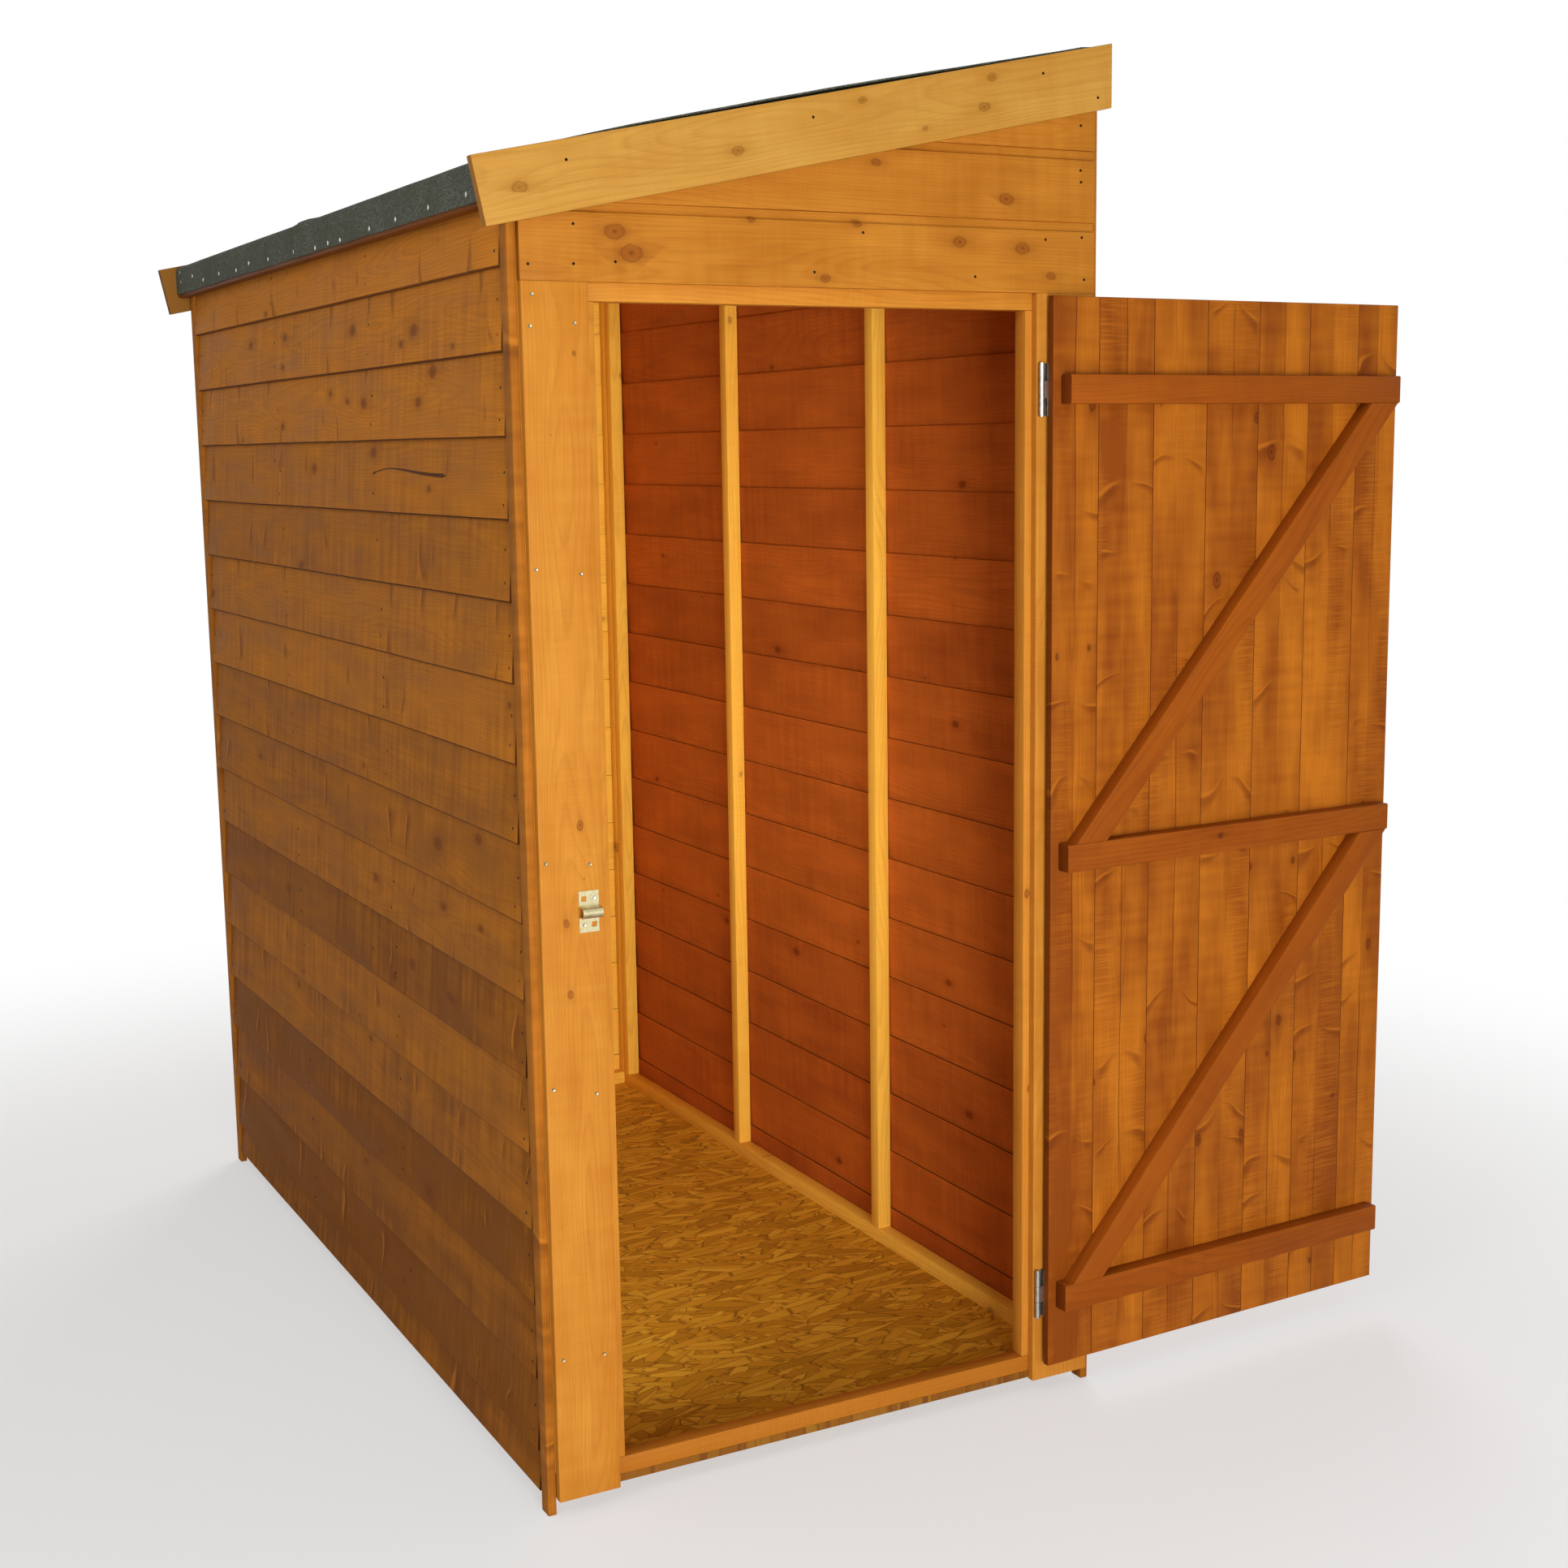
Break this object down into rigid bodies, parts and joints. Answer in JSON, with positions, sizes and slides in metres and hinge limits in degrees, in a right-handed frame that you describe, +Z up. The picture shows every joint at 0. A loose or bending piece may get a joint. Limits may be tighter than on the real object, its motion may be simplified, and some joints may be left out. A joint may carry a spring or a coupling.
{
  "type": "timber pent bike shed",
  "caption": "Timber pent bike shed with lapped board walls, a felt roof on a single slope and a ledged and braced door on butt hinges in its narrow end.",
  "frame": {"origin": "centre of the shed's plan on the ground, on the underside of the middle floor bearer", "axes": "+X across the door end to the tall wall, +Y from the door end to the back, +Z up"},
  "size_m": [1.6233, 1.9205, 2.1145],
  "materials": {
    "wall_boards": "dip-stained brown",
    "front_boards": "dip-stained honey",
    "door_wood": "dip-stained red-brown",
    "barge_wood": "pale honey stain",
    "framing": "planed, bare",
    "strand_board": "bare strand board",
    "roof_felt": "mineral-faced bitumen felt",
    "zinc_steel": "zinc plated"
  },
  "bodies": {
    "shed": {"floor_bearers": "framing", "floor_sheet": "strand_board", "left_wall_boards": "wall_boards", "right_wall_boards": "wall_boards", "back_wall_boards": "wall_boards", "gable_boards": "front_boards", "left_cover_board": "front_boards", "right_cover_board": "front_boards", "front_left_strip": "front_boards", "front_right_strip": "front_boards", "back_left_strip": "wall_boards", "back_right_strip": "wall_boards", "left_wall_frame": "framing", "right_wall_frame": "framing", "back_wall_frame": "framing", "front_corner_posts": "framing", "door_posts": "front_boards", "door_head_rail": "front_boards", "door_sill": "front_boards", "front_top_rail": "framing", "roof_deck": "strand_board", "roof_purlin": "framing", "eave_batten": "wall_boards", "front_felt": "roof_felt", "back_felt": "roof_felt", "front_barge_board": "barge_wood", "back_barge_board": "barge_wood", "hinge_frame_leaves": "zinc_steel", "hinge_pins": "zinc_steel", "bolt_keeper": "zinc_steel"},
    "door": {"door_boards": "door_wood", "door_top_ledge": "door_wood", "door_middle_ledge": "door_wood", "door_bottom_ledge": "door_wood", "door_upper_brace": "door_wood", "door_lower_brace": "door_wood", "hinge_door_leaves": "zinc_steel", "door_bolt": "zinc_steel"}
  },
  "joints": [
    {"name": "door_hinge", "type": "hinge", "parent": "shed", "child": "door", "pos_m": [0.3635, -0.9353, 0.9], "axis": [0, 0, -1], "range_deg": [0, 182.5]}
  ]
}
